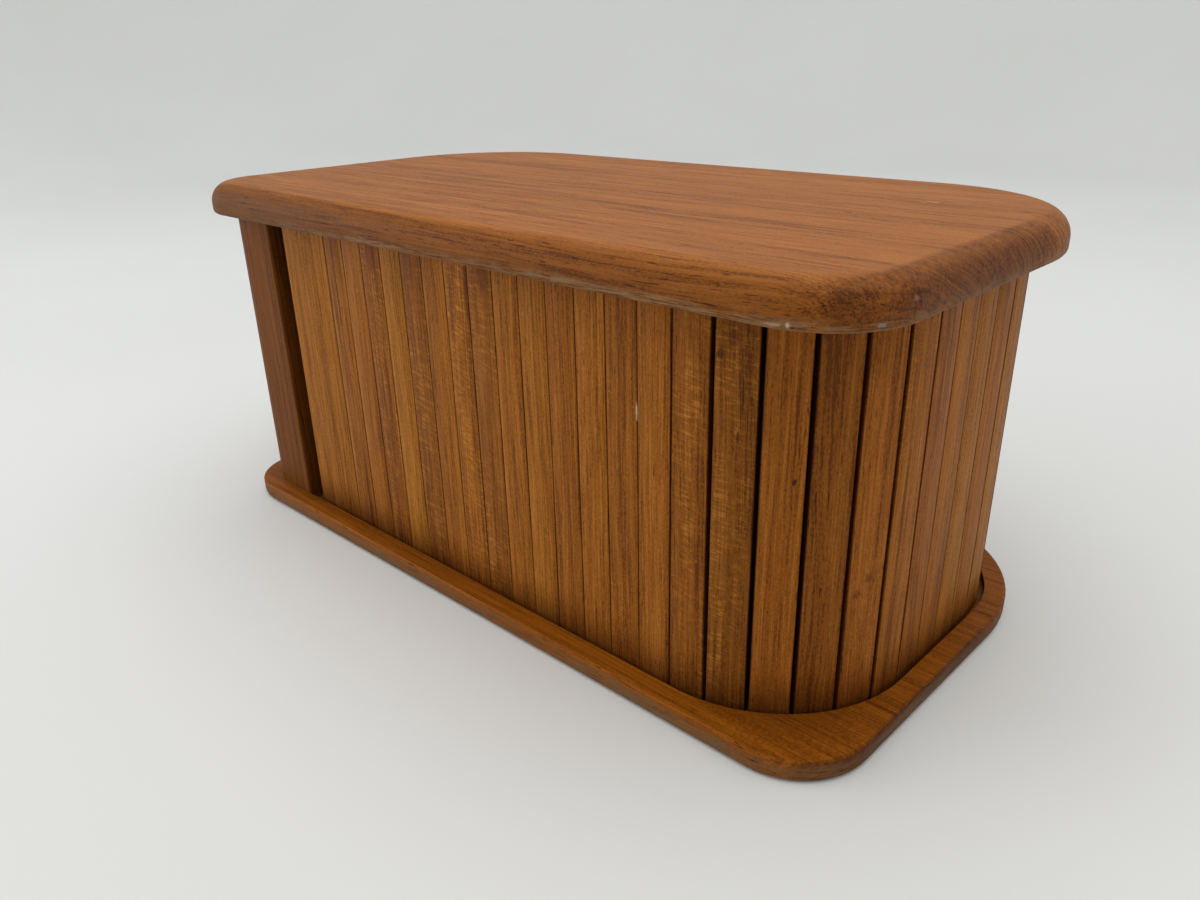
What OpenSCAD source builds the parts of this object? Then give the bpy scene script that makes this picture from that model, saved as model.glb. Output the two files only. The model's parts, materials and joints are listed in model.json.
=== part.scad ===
// Wooden box for papers with a sliding slatted shutter (a tambour).
// Two boards, a base and a top, hold a front post, a left wall, a rounded rear corner and a back
// wall between them. The shutter closes the front against the post, turns round both right-hand
// corners in a groove of the two boards, and runs in behind the back wall as it opens.
// Origin: middle of the box on the table. X runs along the box, -Y is the front, +Z is up.

/* [Boards] */
// Length of the base board, left to right
base_len = 312; // [300:1:340]
// Depth of the base board, front to back
base_dep = 168; // [164:1:190]
// Thickness of the base board
base_t = 7.5; // [7:0.5:12]
// Thickness of the top board
top_t = 12; // [12:0.5:18]
// How far the top board reaches past the base, all round
top_lip = 0.5; // [0:0.5:3]
// Clear height between the two boards
clear_h = 120; // [90:1:150]
// Radius of the two front corners of the base, seen from above
front_corner_r = 25; // [18:1:28]
// Radius of the two rear corners of the base, seen from above
rear_corner_r = 61; // [54:1:62]

/* [Board edges] */
// Round along the upper edge of the top board
top_upper_r = 8; // [4:0.5:8]
// Round along the lower edge of the top board
top_lower_r = 1.5; // [1:0.5:4]
// Round along the upper edge of the base board
base_upper_r = 1; // [1:0.5:3]
// Round along the lower edge of the base board
base_lower_r = 2.5; // [1:0.5:3]

/* [Shutter track] */
// Margin from the front edge of the base to the outer face of the shutter
front_margin = 9.5; // [8:0.5:14]
// Margin from the right edge of the base to the outer face of the shutter
right_margin = 9; // [8:0.5:12]
// Margin from the back edge of the base to the outer face of the shutter behind the wall
back_margin = 12.5; // [12:0.5:18]
// Radius of the shutter's outer face round the two right-hand corners
track_r = 47.5; // [44:0.5:48]
// Clearance in the groove outside the slats
groove_outer_gap = 1.8; // [1.6:0.1:2]
// Clearance in the groove inside the backing cloth
groove_inner_gap = 1.8; // [1.6:0.1:2.2]
// Depth of the groove in the base
base_groove_d = 3.5; // [2.5:0.5:4]
// Depth of the groove in the top
top_groove_d = 5; // [4:0.5:6]
// How far short of the back wall's left end the groove stops
groove_stop = 7; // [4:1:20]

/* [Shutter] */
// Width of one slat with its seam
slat_pitch = 12; // [11:0.5:12]
// Thickness of the slats
slat_t = 4.5; // [4:0.5:5]
// Width of the seam between two slats
slat_seam = 0.2; // [0.2:0.05:0.4]
// Width of the bevel along the two outer edges of a slat
slat_bevel = 0.3; // [0.3:0.1:0.6]
// Number of slats behind the lead slat
slat_count = 31; // [28:1:31]
// Width of the wide lead slat
lead_w = 31.3; // [24:0.1:36]
// Round along the outer edge of the lead slat that the finger pulls
lead_round = 2; // [1:0.5:4]
// Opening between the post and the lead slat as the box stands
rest_gap = 6.7; // [0.5:0.1:10]
// Thickness of the backing cloth
cloth_t = 0.5; // [0.3:0.1:0.6]
// Distance from the backing cloth's edges to the two boards
cloth_edge = 4; // [2:0.5:10]
// Running clearance under the slats, on the floor of the base groove
slat_foot_gap = 0.3; // [0.2:0.1:0.6]
// Running clearance over the slats, in the top groove
slat_head_gap = 0.7; // [0.4:0.1:1.5]

/* [Front post and walls] */
// Margin from the left edge of the base to the left wall's outer face
left_margin = 9; // [8:0.5:12]
// Width of the post that the shutter closes against
post_w = 37; // [30:0.5:44]
// Depth of the post
post_dep = 24; // [20:0.5:30]
// Radius of the post's outer corner
post_corner_r = 18; // [10:0.5:20]
// Round along the post's edge beside the finger gap
post_edge_r = 1.5; // [0.5:0.25:3]
// Thickness of the left wall
left_t = 10; // [8:0.5:14]
// Thickness of the back wall
back_t = 6; // [5:0.5:7]
// Outer radius of the rounded rear corner
rear_block_r = 48; // [44:1:50]
// Thickness of the rounded rear corner
rear_block_t = 10; // [8:0.5:12]
// Round along the back wall's upright edge beside the shutter
back_edge_r = 2; // [1:0.5:2.5]

/* [Inner boards] */
// Thickness of the two inner boards that keep papers off the shutter
inner_t = 5; // [4:0.5:6]
// Where the two inner boards meet, as a turn round the centre of the track's rear corner
inner_meet_turn = 46.5; // [42:0.5:50]
// Gap from the rounded inner wall of the groove to the edges of the inner boards
inner_corner_gap = 0.7; // [0.5:0.1:3]
// Depth of the housings that hold the thin boards in the base and the top
housing_d = 2; // [1.5:0.5:3]
// Depth of the housing in the rear corner that holds the inner back board
block_housing_d = 4; // [3:0.5:6]
// Clearance of a thin board in its housing, on each side
housing_gap = 0.1; // [0.05:0.05:0.2]

/* [Dowels] */
// Diameter of the dowels in the post, the left wall and the rear corner
dowel_d = 6; // [4:0.5:7]
// Length of a dowel inside the upright piece
dowel_in = 10; // [6:1:16]
// Length of a dowel inside the base or the top
dowel_out = 4; // [3:0.5:4.5]
// Clearance round a dowel
dowel_gap = 0.05; // [0.02:0.01:0.1]

/* [Hidden] */
$fn = 96;
past = 1; // how far a cut runs past the face that it opens

// Heights
base_top = base_t;
top_bottom = base_t + clear_h;
slat_z0 = base_top - base_groove_d + slat_foot_gap;
slat_z1 = top_bottom + top_groove_d - slat_head_gap;
slat_h = slat_z1 - slat_z0;

// The shutter's outer face and the two corner centres, seen from above
face_front = -base_dep / 2 + front_margin;
face_back = base_dep / 2 - back_margin;
face_right = base_len / 2 - right_margin;
corner_x = face_right - track_r;
corner_front_y = face_front + track_r;
corner_rear_y = face_back - track_r;
side_run = corner_rear_y - corner_front_y;

// The groove, as radii from the corner centres
groove_r_out = track_r + groove_outer_gap;
groove_r_in = track_r - slat_t - cloth_t - groove_inner_gap;

// Walls and post
left_face = -base_len / 2 + left_margin;
post_face = left_face + post_w;
wall_front = corner_front_y - groove_r_out;
back_inner = corner_rear_y + groove_r_out;
back_outer = back_inner + back_t;
post_back = wall_front + post_dep;
block_cx = left_face + rear_block_r;
block_cy = back_outer - rear_block_r;

// Inner boards
inner_reach = groove_r_in - inner_corner_gap;
inner_back_y = corner_rear_y + inner_reach * sin(inner_meet_turn);
inner_end_x = corner_x + inner_reach * cos(inner_meet_turn);
inner_end_y = corner_front_y - sqrt(pow(inner_reach, 2) - pow(inner_end_x - corner_x, 2));
block_inner_r = rear_block_r - rear_block_t;
block_seat_x = block_cx - sqrt(pow(block_inner_r, 2) - pow(inner_back_y - inner_t - block_cy, 2));
inner_back_x0 = block_seat_x - block_housing_d;

// The path of the pins: the line where the cloth bends, on the slats' back faces.
// It starts at the post, and u is the distance along it.
pin_r = track_r - slat_t;
pin_y = face_front + slat_t;
quarter = PI / 2 * pin_r;
u_corner_1 = corner_x - post_face;
u_side = u_corner_1 + quarter;
u_corner_2 = u_side + side_run;
u_back = u_corner_2 + quarter;
arc_step = 2 * asin(slat_pitch / 2 / pin_r) * PI / 180 * pin_r;

// Point of the pin path at a distance u from the post
function pin_at(u) =
    u <= u_corner_1 ? [post_face + u, pin_y] :
    u <= u_side ? on_corner(corner_front_y, (u - u_corner_1) / quarter * 90) :
    u <= u_corner_2 ? [corner_x + pin_r, corner_front_y + u - u_side] :
    u <= u_back ? on_corner(corner_rear_y, 90 + (u - u_corner_2) / quarter * 90) :
    [corner_x - (u - u_back), corner_rear_y + pin_r];

// Point of a corner's arc, turned from its front end
function on_corner(cy, turn) = [corner_x + pin_r * sin(turn), cy - pin_r * cos(turn)];

// Next pin where the slat leaves a straight run, with a left of that run
function step_into_corner(a) =
    let (k = (pow(slat_pitch, 2) - pow(a, 2) - 2 * pow(pin_r, 2)) / (2 * pin_r))
    let (reach = sqrt(pow(a, 2) + pow(pin_r, 2)))
    (atan2(pin_r, a) + asin(k / reach)) * PI / 180 * pin_r;

// Length along the straight run where the slat leaves a corner, with a turn left in it
function step_out_of_corner(turn) =
    sqrt(pow(slat_pitch, 2) - pow(pin_r * (1 - cos(turn)), 2)) - pin_r * sin(turn);

// Next pin after the one at u, one slat pitch away in a straight line
function straight_next(u, end) =
    u + slat_pitch <= end ? u + slat_pitch : end + step_into_corner(end - u);
function corner_next(u, end) =
    u + arc_step <= end ? u + arc_step : end + step_out_of_corner((end - u) / quarter * 90);
function next_pin(u) =
    u < u_corner_1 ? straight_next(u, u_corner_1) :
    u < u_side ? corner_next(u, u_side) :
    u < u_corner_2 ? straight_next(u, u_corner_2) :
    u < u_back ? corner_next(u, u_back) :
    u + slat_pitch;

// All pins: pins[n] is where slat n begins, and the last one ends the shutter
lead_u = rest_gap;
pins = [for (n = 1, u = lead_u + lead_w; n <= slat_count + 1; u = next_pin(u), n = n + 1) u];

// Slats that stay in line with each other share one strip of cloth
cloth_runs = [[13], [14], [15], [16, 17, 18], [19], [20], [21, 22], [23], [24], [25], [26, 27],
    [28], [29], [30], [31]];
front_slats = 12;

function two_digits(n) = n < 10 ? str("0", n) : str(n);
function slat_name(n) = str("slat_", two_digits(n));
function cloth_name(run) =
    len(run) == 1 ? str("cloth_", two_digits(run[0])) :
    str("cloth_", two_digits(run[0]), "_", two_digits(run[len(run) - 1]));

// Section of a board's edge, from x = 0 to w, with its two rounds on the far side
module edge_section(w, t, upper_r, lower_r) {
    difference() {
        square([w, t]);
        translate([w - upper_r, t - upper_r]) outside_round(upper_r);
        translate([w - lower_r, lower_r]) mirror([0, 1]) outside_round(lower_r);
    }
}

// What a round of radius r takes off a square corner
module outside_round(r) {
    difference() {
        square(r + past);
        circle(r);
    }
}

// One corner of a board
module board_corner(x, y, turn, r, t, upper_r, lower_r) {
    translate([x, y, 0]) rotate([0, 0, turn]) rotate_extrude(angle = 90)
        edge_section(r, t, upper_r, lower_r);
}

// One straight edge of a board: it starts at [x, y], runs along the turned X axis for run and
// reaches w out to the right of that
module board_edge(x, y, turn, run, w, t, upper_r, lower_r) {
    translate([x, y, 0]) rotate([0, 0, turn]) rotate([90, 0, 90]) mirror([1, 0, 0])
        linear_extrude(run) edge_section(w, t, upper_r, lower_r);
}

// A board with rounded corners and rounded edges, its lower face at z = 0
module rounded_board(len, dep, t, rf, rr, upper_r, lower_r) {
    x_f = len / 2 - rf;
    x_r = len / 2 - rr;
    y_f = -dep / 2 + rf;
    y_r = dep / 2 - rr;
    translate([-x_f, y_f, 0]) cube([2 * x_f, y_r - y_f, t]);
    board_corner(x_f, y_f, -90, rf, t, upper_r, lower_r);
    board_corner(-x_f, y_f, 180, rf, t, upper_r, lower_r);
    board_corner(x_r, y_r, 0, rr, t, upper_r, lower_r);
    board_corner(-x_r, y_r, 90, rr, t, upper_r, lower_r);
    board_edge(-x_f, y_f, 0, 2 * x_f, rf, t, upper_r, lower_r);
    board_edge(x_f, y_f, 90, y_r - y_f, rf, t, upper_r, lower_r);
    board_edge(x_r, y_r, 180, 2 * x_r, rr, t, upper_r, lower_r);
    board_edge(-x_f, y_r, 270, y_r - y_f, rf, t, upper_r, lower_r);
}

// Quarter of a ring round [x, y], turned from the +X, +Y quarter
module quarter_ring(x, y, turn, r_out, r_in) {
    translate([x, y]) rotate(turn) intersection() {
        difference() {
            circle(r_out);
            circle(r_in);
        }
        square(r_out);
    }
}

// Plan of the groove: front run, corner, right run, corner and back run
module groove_plan() {
    band = groove_r_out - groove_r_in;
    translate([post_face, wall_front]) square([corner_x - post_face, band]);
    quarter_ring(corner_x, corner_front_y, -90, groove_r_out, groove_r_in);
    translate([corner_x + groove_r_in, corner_front_y]) square([band, side_run]);
    quarter_ring(corner_x, corner_rear_y, 0, groove_r_out, groove_r_in);
    back_run = corner_x - block_cx - groove_stop;
    translate([corner_x - back_run, corner_rear_y + groove_r_in]) square([back_run, band]);
}

// Plans of the boards that stand in housings, grown by gap
module back_wall_plan(gap) {
    translate([block_cx - gap, back_inner - gap])
        square([corner_x - block_cx + 2 * gap, back_t + 2 * gap]);
}
module inner_back_plan(gap) {
    translate([inner_back_x0 - gap, inner_back_y - inner_t - gap])
        square([inner_end_x - inner_back_x0 + 2 * gap, inner_t + 2 * gap]);
}
module inner_end_plan(gap) {
    translate([inner_end_x - inner_t - gap, inner_end_y - gap])
        square([inner_t + 2 * gap, inner_back_y - inner_t - inner_end_y + 2 * gap]);
}
module housings_plan() {
    back_wall_plan(housing_gap);
    inner_back_plan(housing_gap);
    inner_end_plan(housing_gap);
}

// Dowel centres, seen from above
wall_mid_x = left_face + left_t / 2;
block_mid_r = rear_block_r - rear_block_t / 2;
block_turns = [8, 62]; // dowels of the rear corner, turned from the left wall
dowel_places = concat(
    [[post_face - post_w / 4, wall_front + post_dep / 2],
        [left_face + post_w / 4, post_back - post_dep / 3],
        [wall_mid_x, post_back + dowel_in],
        [wall_mid_x, block_cy - dowel_in]],
    [for (turn = block_turns)
        [block_cx - block_mid_r * cos(turn), block_cy + block_mid_r * sin(turn)]]);

// The dowels of the lower or the upper joints, made thicker and longer by gap
module dowel_row(z_joint, up, gap) {
    z_low = up ? -dowel_in : -dowel_out;
    for (place = dowel_places)
        translate([place[0], place[1], z_joint + z_low - gap])
            cylinder(d = dowel_d + 2 * gap, h = dowel_in + dowel_out + 2 * gap);
}
module dowel_holes() {
    dowel_row(base_top, false, dowel_gap);
    dowel_row(top_bottom, true, dowel_gap);
}

module base_board() {
    color("#9c5a2c") difference() {
        rounded_board(base_len, base_dep, base_t, front_corner_r, rear_corner_r,
            base_upper_r, base_lower_r);
        translate([0, 0, base_top - base_groove_d])
            linear_extrude(base_groove_d + past) groove_plan();
        translate([0, 0, base_top - housing_d])
            linear_extrude(housing_d + past) housings_plan();
        dowel_holes();
    }
}

module top_board() {
    color("#9d6743") difference() {
        translate([0, 0, top_bottom])
            rounded_board(base_len + 2 * top_lip, base_dep + 2 * top_lip, top_t,
                front_corner_r + top_lip, rear_corner_r + top_lip, top_upper_r, top_lower_r);
        translate([0, 0, top_bottom - past])
            linear_extrude(top_groove_d + past) groove_plan();
        translate([0, 0, top_bottom - past])
            linear_extrude(housing_d + past) housings_plan();
        dowel_holes();
    }
}

// An upright piece: its plan, drilled for the dowels
module upright() {
    difference() {
        translate([0, 0, base_top]) linear_extrude(clear_h) children();
        dowel_holes();
    }
}

module front_post() {
    color("#7d5238") upright() difference() {
        translate([left_face, wall_front]) square([post_w, post_dep]);
        translate([left_face + post_corner_r, wall_front + post_corner_r]) rotate(180)
            outside_round(post_corner_r);
        translate([post_face - post_edge_r, wall_front + post_edge_r]) rotate(-90)
            outside_round(post_edge_r);
    }
}

module left_wall() {
    color("#8a5a34") upright()
        translate([left_face, post_back]) square([left_t, block_cy - post_back]);
}

module rear_corner() {
    color("#80522e") upright() difference() {
        quarter_ring(block_cx, block_cy, 90, rear_block_r, block_inner_r);
        inner_back_plan(housing_gap);
    }
}

// A thin board: its plan, standing in the housings of the base and the top
module housed_board() {
    translate([0, 0, base_top - housing_d + housing_gap])
        linear_extrude(clear_h + 2 * (housing_d - housing_gap)) children();
}

module back_wall() {
    color("#8d5d38") housed_board() difference() {
        back_wall_plan(0);
        translate([corner_x - back_edge_r, back_outer - back_edge_r])
            outside_round(back_edge_r);
    }
}

module inner_back_board() {
    color("#a87a4c") housed_board() inner_back_plan(0);
}

module inner_end_board() {
    color("#a87a4c") housed_board() inner_end_plan(0);
}

module dowels() {
    color("#c9a877") {
        dowel_row(base_top, false, 0);
        dowel_row(top_bottom, true, 0);
    }
}

// Section of a slat of width w: its back on the pin line, its outer edges bevelled
module slat_section(w) {
    side = slat_seam / 2;
    polygon([
        [side, 0],
        [w - side, 0],
        [w - side, slat_bevel - slat_t],
        [w - side - slat_bevel, -slat_t],
        [side + slat_bevel, -slat_t],
        [side, slat_bevel - slat_t]]);
}

// Places its children at the pin n, turned along the slat that starts there
module at_slat(n) {
    here = pin_at(pins[n - 1]);
    ahead = pin_at(pins[n]) - here;
    translate([here[0], here[1], 0]) rotate([0, 0, atan2(ahead[1], ahead[0])]) children();
}

module slat(n) {
    shade = n % 3;
    color(shade == 0 ? "#8a5527" : shade == 1 ? "#7a4a22" : "#94602f") at_slat(n)
        translate([0, 0, slat_z0]) linear_extrude(slat_h) slat_section(slat_pitch);
}

module lead_slat() {
    color("#8f5c2d") translate([post_face + lead_u, pin_y, slat_z0]) linear_extrude(slat_h)
        difference() {
            slat_section(lead_w);
            translate([slat_seam / 2 + lead_round, lead_round - slat_t]) rotate(180)
                outside_round(lead_round);
        }
}

// The backing cloth of a run of slats, glued to their backs and clear of the pins
module cloth_strip(w) {
    edge = slat_seam + cloth_t / 2;
    translate([edge, 0, base_top + cloth_edge])
        cube([w - 2 * edge, cloth_t, clear_h - 2 * cloth_edge]);
}

module cloth_front() {
    color("#b9ad94") translate([post_face + lead_u, pin_y, 0])
        cloth_strip(lead_w + front_slats * slat_pitch);
}

module cloth_run(run) {
    color("#b9ad94") for (n = run) at_slat(n) cloth_strip(slat_pitch);
}

base_board();
top_board();
front_post();
left_wall();
rear_corner();
back_wall();
inner_back_board();
inner_end_board();
dowels();
lead_slat();
cloth_front();
for (n = [1:slat_count]) slat(n);
for (run = cloth_runs) cloth_run(run);
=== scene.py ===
"""Looks of a long teak box for papers, with a slatted shutter that slides round its corners.

The boards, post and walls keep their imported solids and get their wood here. The slats and the
backing cloth are modelled again with softened edges, at the sizes of the part's source. Lengths
are in metres; X runs along the box, -Y is the front and +Z is up.
"""

import json
import logging
import math
from dataclasses import dataclass, field
from enum import Enum
from typing import Callable, Iterable

import bmesh
import bpy
from mathutils import Matrix, Quaternion, Vector


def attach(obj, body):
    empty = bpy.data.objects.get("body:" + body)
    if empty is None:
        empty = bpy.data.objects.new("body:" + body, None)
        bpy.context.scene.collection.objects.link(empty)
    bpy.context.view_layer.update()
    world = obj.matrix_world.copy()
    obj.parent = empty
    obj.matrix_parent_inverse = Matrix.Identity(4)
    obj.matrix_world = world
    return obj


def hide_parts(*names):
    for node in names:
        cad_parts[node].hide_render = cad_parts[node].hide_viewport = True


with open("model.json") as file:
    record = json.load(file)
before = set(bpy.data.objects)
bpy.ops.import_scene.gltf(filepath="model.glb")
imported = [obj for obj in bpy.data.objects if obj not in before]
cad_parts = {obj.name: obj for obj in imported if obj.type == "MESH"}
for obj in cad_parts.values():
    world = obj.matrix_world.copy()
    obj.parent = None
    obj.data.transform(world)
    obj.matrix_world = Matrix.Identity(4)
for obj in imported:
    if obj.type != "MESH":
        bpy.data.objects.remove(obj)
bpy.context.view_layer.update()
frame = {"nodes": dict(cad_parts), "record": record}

MM = 0.001
Triple = tuple[float, float, float]
Colour = tuple[float, float, float, float]
Piece = bpy.types.Object
Socket = bpy.types.NodeSocket
LOG = logging.getLogger("tambour_box")

# How near two places are when they count as one
CLOSE = 0.01 * MM
# Faces in the round of a soft edge and in a rounded corner
SOFT_STEPS = 3
ROUND_STEPS = 10

# Noise spreads in teak: features to the metre along the grain, across it and into the wood
SWAY = (6, 25, 25)
FINE_LINES = (55, 2300, 2300)
BROAD_BANDS = (3.5, 140, 140)
MIDDLE_BANDS = (8, 560, 560)
NARROW_BANDS = (22, 1150, 1150)
SPECKLE = (1100, 2600, 2600)
LONG_STREAKS = (9, 480, 480)
CROSS_FLECKS = (1350, 210, 210)
FLECK_PATCHES = (40, 170, 170)
PORE_DASHES = (150, 1900, 1900)

# What a wood's colour is multiplied by, as linear red, green, blue and alpha
STREAK_FACTOR = (0.42, 0.34, 0.3, 1)
FLECK_FACTOR = (1.5, 1.65, 1.9, 1)
PORE_FACTOR = (0.4, 0.3, 0.24, 1)
# Darkens the side of a board that faces one way: painted shade
SIDE_SHADE_FACTOR = (0.5, 0.42, 0.08, 1)
# Darkens the slats: grime in the seams, and painted shade on the hidden sides and along the foot
DIRT_AND_SHADE_FACTOR = (0.2, 0.12, 0.1, 1)
RING_FACTORS_FRONT = (0.25, 0.21, 0.2, 1), (0.62, 0.55, 0.48, 1)
RING_FACTORS_REAR = (0.5, 0.45, 0.38, 1), (1.15, 1.1, 0.8, 1)
RING_SPECK_FACTOR = (0.36, 0.3, 0.26, 1)

# Growth rings to the metre
RINGS = 760


def tint(code: str) -> Colour:
    """Turns a colour as it is seen into the linear colour that shaders work with.

    Args:
        code: six hexadecimal digits after a hash sign.

    Returns:
        Red, green, blue and a full alpha.
    """
    parts = [int(code[i : i + 2], 16) / 255 for i in (1, 3, 5)]
    red, green, blue = [p / 12.92 if p < 0.04045 else ((p + 0.055) / 1.055) ** 2.4 for p in parts]
    return (red, green, blue, 1.0)


# ------------------------------------------------------------
# The bench: the operators that shape a piece


class Bench:
    """Shapes pieces with Blender's own operators, one step at a time."""

    @staticmethod
    def clear() -> None:
        """Leaves edit mode and deselects everything, so that an operator acts on one piece."""
        if bpy.context.object and bpy.context.object.mode != "OBJECT":
            bpy.ops.object.mode_set(mode="OBJECT")
        bpy.ops.object.select_all(action="DESELECT")

    @staticmethod
    def hold(piece: Piece) -> None:
        """Selects one piece and makes it the active one."""
        Bench.clear()
        piece.select_set(True)
        bpy.context.view_layer.objects.active = piece

    @staticmethod
    def settle(piece: Piece) -> None:
        """Puts the piece's place, turn and scale into its mesh."""
        Bench.hold(piece)
        bpy.ops.object.transform_apply(location=True, rotation=True, scale=True)

    @staticmethod
    def block(name: str, low: Vector, high: Vector) -> Piece:
        """Adds a squared blank between two corners.

        Args:
            name: the piece's name.
            low: its lowest corner.
            high: its highest corner.

        Returns:
            The blank, at the origin, with its place in its mesh.
        """
        Bench.clear()
        bpy.ops.mesh.primitive_cube_add(size=1, location=(low + high) / 2, scale=high - low)
        piece = bpy.context.object
        piece.name = piece.data.name = name
        Bench.settle(piece)
        return piece

    @staticmethod
    def pick(piece: Piece, kind: str, test: Callable[[list[Vector]], bool]) -> None:
        """Goes into edit mode and selects the edges or faces whose corners pass a test.

        Args:
            piece: the piece to work on.
            kind: "EDGE" or "FACE".
            test: takes the corners of an edge or face and says whether it is wanted.
        """
        Bench.hold(piece)
        bpy.ops.object.mode_set(mode="EDIT")
        bpy.ops.mesh.select_mode(type=kind)
        bpy.ops.mesh.select_all(action="DESELECT")
        work = bmesh.from_edit_mesh(piece.data)
        for part in work.edges if kind == "EDGE" else work.faces:
            if test([corner.co for corner in part.verts]):
                part.select_set(True)
        bmesh.update_edit_mesh(piece.data)

    @staticmethod
    def round_over(
        piece: Piece, test: Callable[[list[Vector]], bool], radius: float, steps: int
    ) -> None:
        """Rounds the edges that pass a test.

        Args:
            piece: the piece to work on.
            test: says which edges are rounded, from their two ends.
            radius: the round's radius.
            steps: how many faces make up the round.
        """
        Bench.pick(piece, "EDGE", test)
        bpy.ops.mesh.bevel(offset=radius, segments=steps, profile=0.5, affect="EDGES")
        bpy.ops.object.mode_set(mode="OBJECT")

    @staticmethod
    def copy(piece: Piece, name: str) -> Piece:
        """Copies a piece, with a mesh of its own.

        Args:
            piece: the piece to copy.
            name: the copy's name.

        Returns:
            The copy.
        """
        Bench.hold(piece)
        bpy.ops.object.duplicate(linked=False)
        twin = bpy.context.object
        twin.name = twin.data.name = name
        return twin

    @staticmethod
    def smooth(piece: Piece, below: float = 40.0) -> None:
        """Shades a piece smooth, but for its sharp edges.

        Args:
            piece: the piece.
            below: the angle in degrees under which two faces meet smoothly.
        """
        Bench.hold(piece)
        bpy.ops.object.shade_smooth_by_angle(angle=math.radians(below))
        Bench.clear()

    @staticmethod
    def write(piece: Piece, name: str, values: Iterable[Vector]) -> None:
        """Writes a vector to every point of a piece's mesh, for its material to read.

        Args:
            piece: the piece whose mesh takes the attribute.
            name: the attribute's name.
            values: one vector for each point, in the mesh's order.
        """
        layer = piece.data.attributes.new(name, "FLOAT_VECTOR", "POINT")
        layer.data.foreach_set("vector", [part for value in values for part in value])


# ------------------------------------------------------------
# Shader trees


class Graph:
    """Adds nodes to one shader tree and joins their sockets."""

    def __init__(self, tree: bpy.types.NodeTree) -> None:
        """Takes the tree to work on."""
        self.tree = tree

    def node(self, kind: str, feeds: dict, **settings: object) -> bpy.types.Node:
        """Adds a node, sets it and feeds its sockets.

        Args:
            kind: the node's type.
            feeds: what goes into each socket, by its name or number: a socket or a value.
            **settings: the node's own settings.

        Returns:
            The node.
        """
        node = self.tree.nodes.new(kind)
        for name, value in settings.items():
            setattr(node, name, value)
        for name, value in feeds.items():
            if isinstance(value, bpy.types.NodeSocket):
                self.tree.links.new(value, node.inputs[name])
            else:
                node.inputs[name].default_value = value
        return node

    def calc(self, action: str, a: object, b: object = 0.0, clamp: bool = False) -> Socket:
        """Works out one step of arithmetic on two numbers."""
        feeds = {0: a, 1: b}
        return self.node("ShaderNodeMath", feeds, operation=action, use_clamp=clamp).outputs[0]

    def plus(self, a: object, b: object) -> Socket:
        """Adds two numbers."""
        return self.calc("ADD", a, b)

    def minus(self, a: object, b: object) -> Socket:
        """Takes the second number from the first."""
        return self.calc("SUBTRACT", a, b)

    def times(self, a: object, b: object) -> Socket:
        """Multiplies two numbers."""
        return self.calc("MULTIPLY", a, b)

    def vector(self, action: str, a: object, b: object, out: int | str = 0) -> Socket:
        """Works out one step of arithmetic on two vectors."""
        return self.node("ShaderNodeVectorMath", {0: a, 1: b}, operation=action).outputs[out]

    def split(self, vector: Socket) -> list[Socket]:
        """Splits a vector into its three numbers."""
        return list(self.node("ShaderNodeSeparateXYZ", {0: vector}).outputs)

    def join(self, x: object, y: object, z: object) -> Socket:
        """Joins three numbers into a vector."""
        return self.node("ShaderNodeCombineXYZ", {0: x, 1: y, 2: z}).outputs[0]

    def mix(self, share: object, a: object, b: object, way: str = "MIX") -> Socket:
        """Mixes two colours by a share from 0 to 1."""
        feeds = {0: share, 6: a, 7: b}
        return self.node("ShaderNodeMix", feeds, data_type="RGBA", blend_type=way).outputs[2]

    def tinge(self, share: object, colour: Socket, factor: object) -> Socket:
        """Multiplies a colour by a factor, by a share from 0 to 1."""
        return self.mix(share, colour, self.mix(1.0, colour, factor, "MULTIPLY"))

    def ease(self, value: object, low: object, high: object, top: object = 1.0) -> Socket:
        """Rises smoothly from 0 at low to top at high, or falls where low is the larger."""
        feeds = {"Value": value, "From Min": low, "From Max": high, "To Max": top}
        return self.node("ShaderNodeMapRange", feeds, interpolation_type="SMOOTHSTEP").outputs[0]

    def noise(
        self, place: object, spread: tuple, seed: object, detail: float = 2, rough: float = 0.5
    ) -> Socket:
        """Adds noise that is stretched differently along each axis.

        Args:
            place: the vector that it reads.
            spread: how many features to the metre along each axis.
            seed: moves the whole pattern.
            detail: how many finer layers it has.
            rough: how strong the finer layers are.

        Returns:
            A value near 0.5, from 0 to 1.
        """
        where = self.vector("MULTIPLY", place, spread)
        feeds = {"Vector": where, "W": seed, "Scale": 1.0, "Detail": detail, "Roughness": rough}
        return self.node("ShaderNodeTexNoise", feeds, noise_dimensions="4D").outputs[0]

    def group(self, name: str, feeds: dict) -> list[Socket]:
        """Places a node group, feeds it and gives its outputs."""
        tree = bpy.data.node_groups[name]
        return list(self.node("ShaderNodeGroup", feeds, node_tree=tree).outputs)

    def bump(self, height: Socket, strength: float, depth: float = 0.3 * MM) -> Socket:
        """Turns a relief of some depth into a normal."""
        feeds = {"Strength": strength, "Distance": depth, "Height": height}
        return self.node("ShaderNodeBump", feeds).outputs[0]

    def surface(self, feeds: dict) -> None:
        """Adds a material's surface, fed by the names of its sockets, and its output."""
        shader = self.node("ShaderNodeBsdfPrincipled", feeds)
        output = self.node("ShaderNodeOutputMaterial", {})
        self.tree.links.new(shader.outputs[0], output.inputs[0])


def start_material(name: str) -> tuple[bpy.types.Material, Graph]:
    """Makes a material whose tree is still empty.

    Args:
        name: the material's name.

    Returns:
        The material and the graph that fills its tree.
    """
    material = bpy.data.materials.new(name)
    material.use_nodes = True
    material.node_tree.nodes.clear()
    return material, Graph(material.node_tree)


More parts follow.
